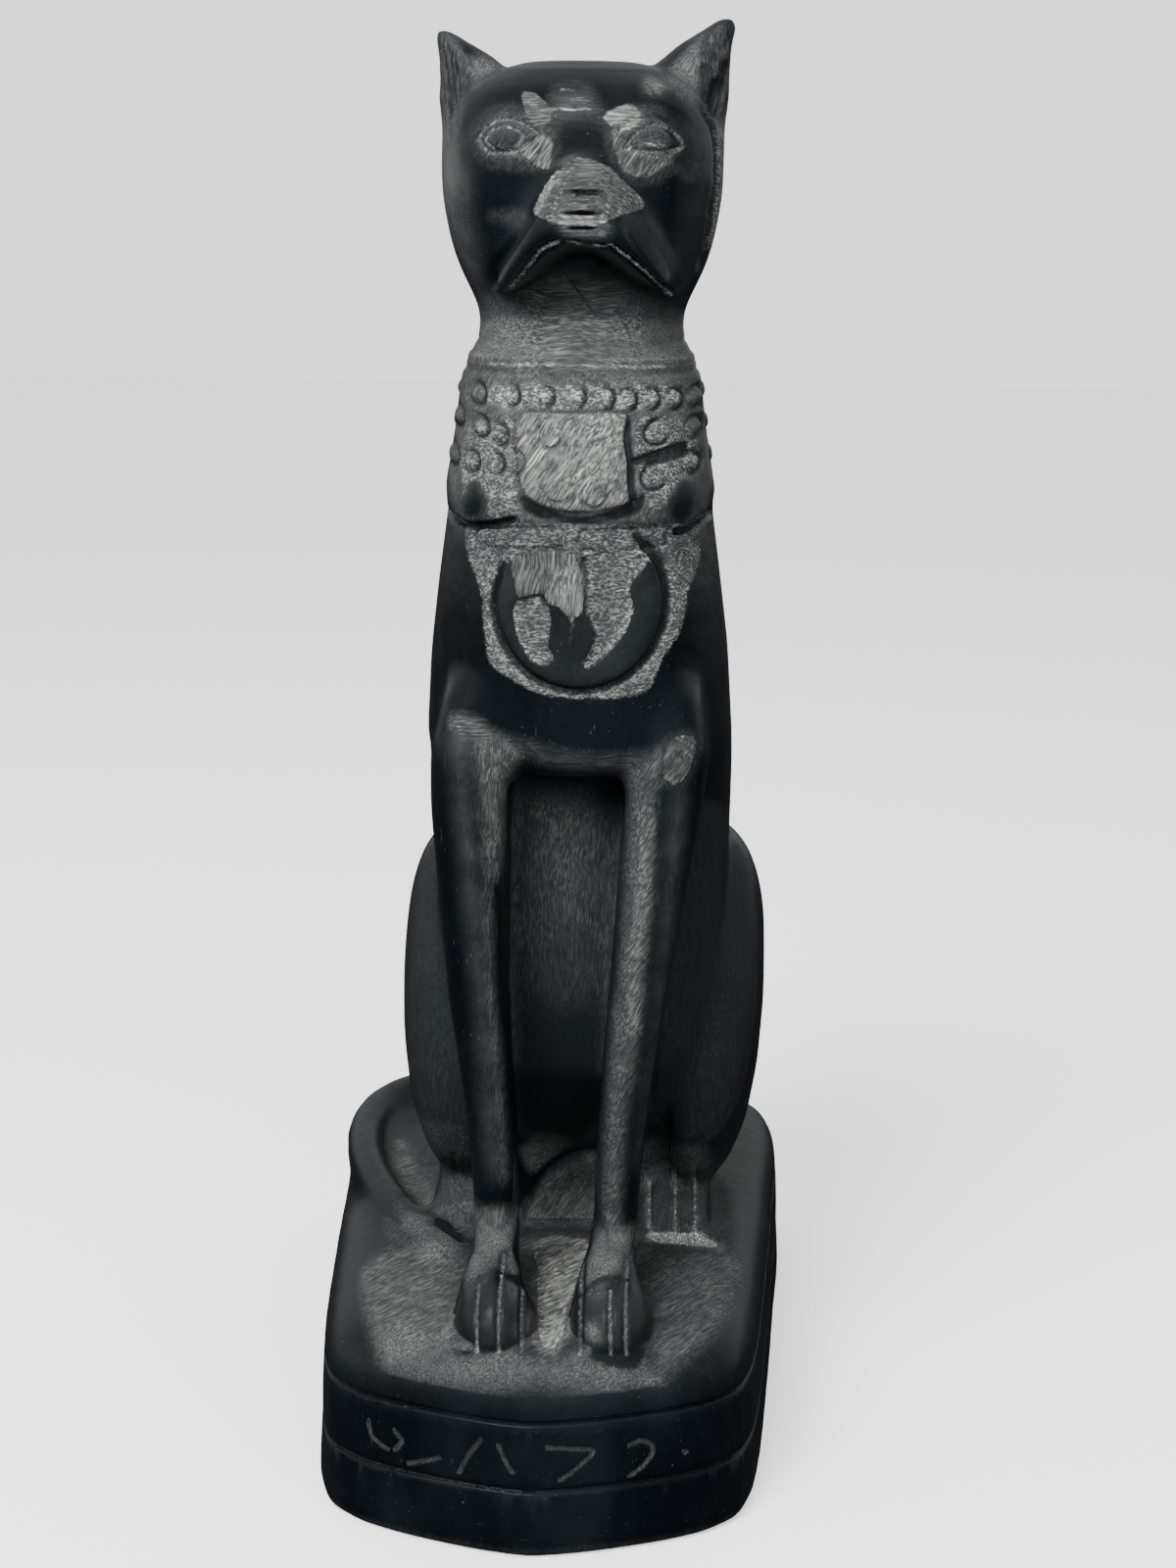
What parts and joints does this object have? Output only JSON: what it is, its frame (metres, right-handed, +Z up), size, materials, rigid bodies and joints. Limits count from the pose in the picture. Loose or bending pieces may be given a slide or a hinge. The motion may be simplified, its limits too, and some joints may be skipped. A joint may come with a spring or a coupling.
{
  "type": "bastet cat figure",
  "caption": "Tall seated cat figure carved in dark stone with a beaded collar, a round pendant and a tail curled round its feet, standing on a rounded plinth of the same stone",
  "frame": {"origin": "middle of the plinth's underside", "axes": "+Z up, the cat looks along -Y, +X is the cat's left"},
  "size_m": [0.0926, 0.1456, 0.2519],
  "materials": {
    "stone": "satin"
  },
  "bodies": {
    "root": {"bastet_cat_figure": "stone"}
  },
  "joints": []
}
